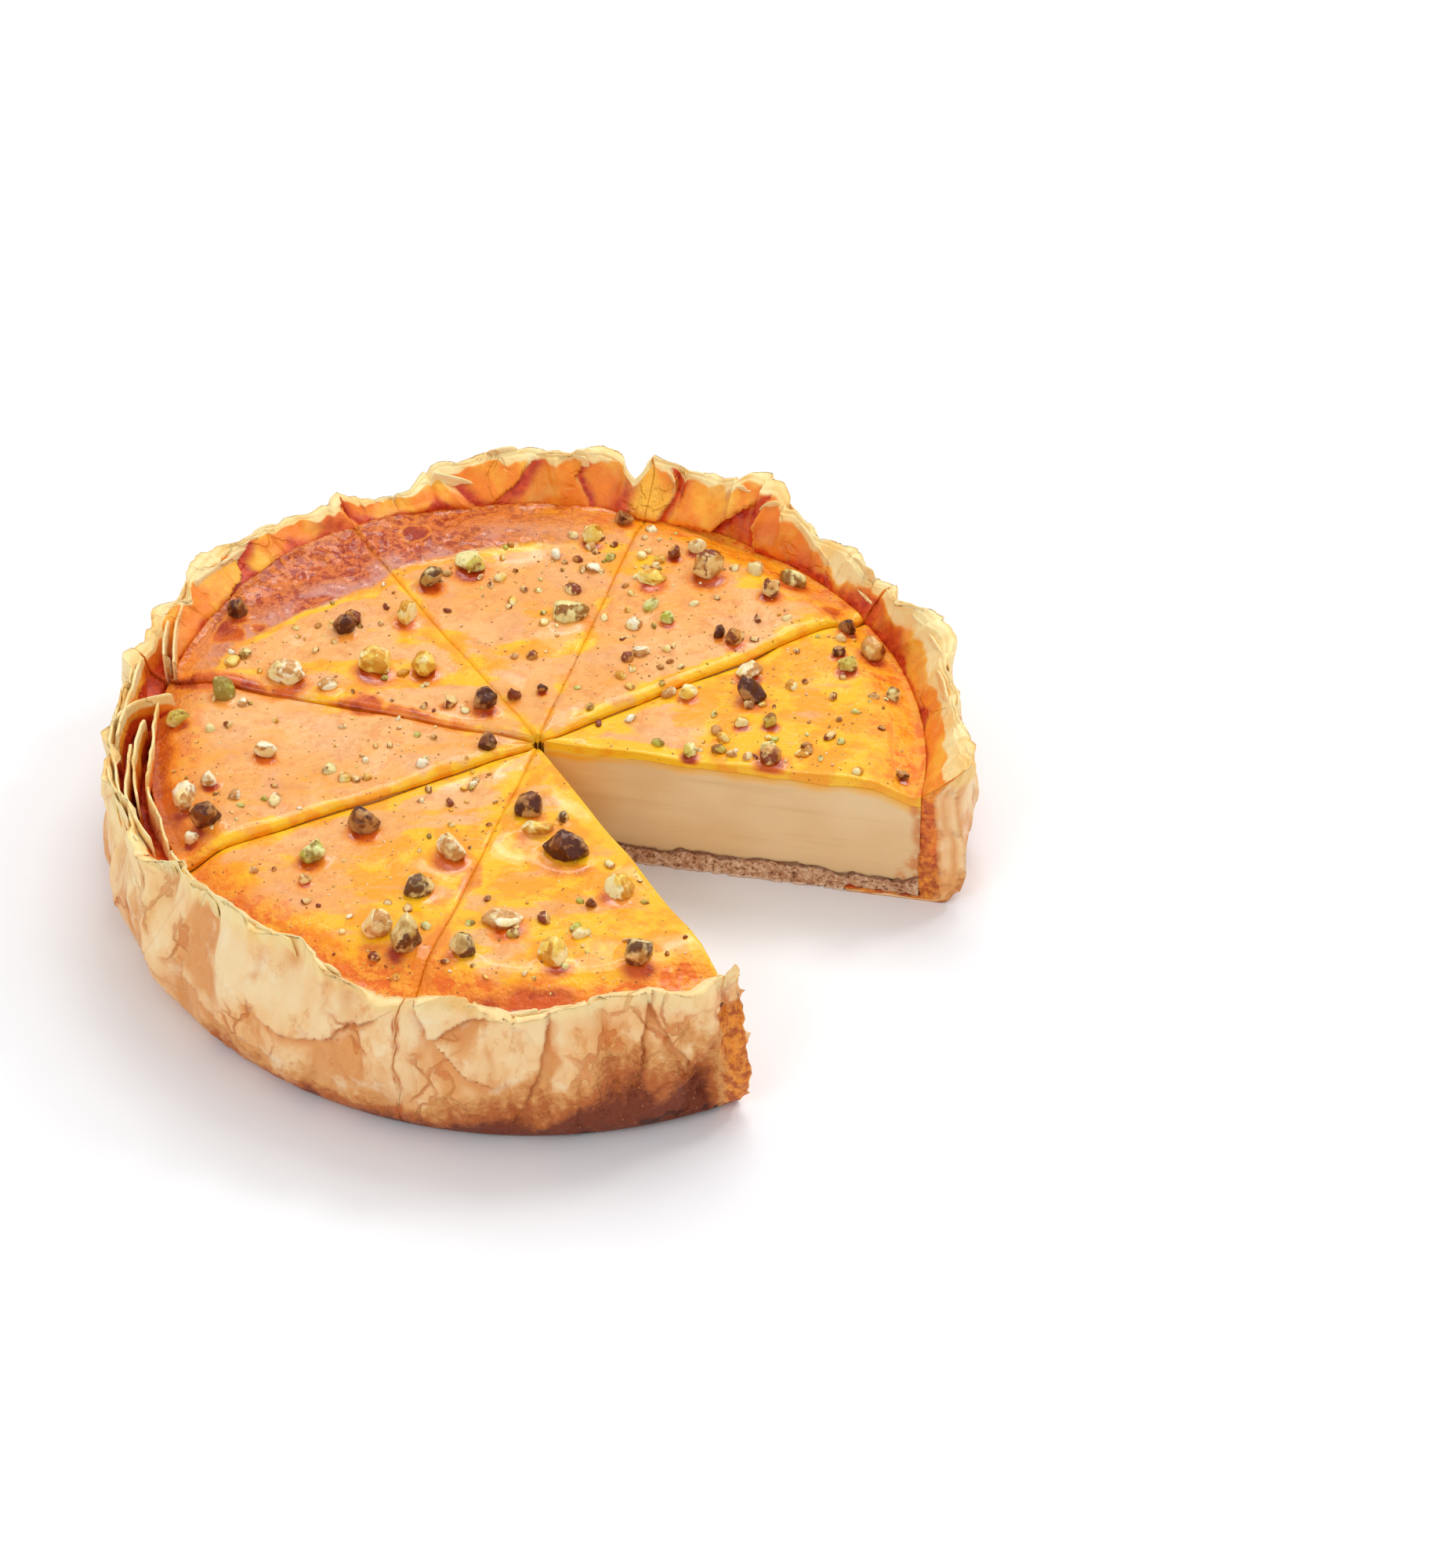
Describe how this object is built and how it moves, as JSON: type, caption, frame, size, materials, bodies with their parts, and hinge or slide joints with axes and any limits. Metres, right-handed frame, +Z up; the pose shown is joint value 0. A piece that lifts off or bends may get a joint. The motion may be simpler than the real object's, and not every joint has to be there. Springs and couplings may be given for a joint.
{
  "type": "baked cheesecake",
  "caption": "Round baked cheesecake in a flaky pastry case, glazed and dotted with pistachios, cut into slices with a wedge taken out.",
  "frame": {"origin": "middle of the cake's round underside, where the cuts would meet on the surface it stands on", "axes": "+Z up through the cake's axis; -Y towards the front, with the missing slice between the -Y and +X sides"},
  "size_m": [0.2706, 0.2711, 0.0618],
  "materials": {
    "pastry": "flaky baked pastry, pale cream to amber brown, satin where buttered",
    "crumb": "rough pressed biscuit crumb, matt",
    "filling": "smooth baked cream cheese, matt, with drag marks of the knife",
    "glaze": "wet amber glaze over a baked top, with chopped pistachios set in it"
  },
  "bodies": {
    "root": {"pastry_1": "pastry", "crumb_1": "crumb", "filling_1": "filling", "glaze_1": "glaze", "pastry_2": "pastry", "crumb_2": "crumb", "filling_2": "filling", "glaze_2": "glaze", "pastry_3": "pastry", "crumb_3": "crumb", "filling_3": "filling", "glaze_3": "glaze", "pastry_4": "pastry", "crumb_4": "crumb", "filling_4": "filling", "glaze_4": "glaze", "pastry_5": "pastry", "crumb_5": "crumb", "filling_5": "filling", "glaze_5": "glaze", "pastry_6": "pastry", "crumb_6": "crumb", "filling_6": "filling", "glaze_6": "glaze", "pastry_7": "pastry", "crumb_7": "crumb", "filling_7": "filling", "glaze_7": "glaze"}
  },
  "joints": []
}
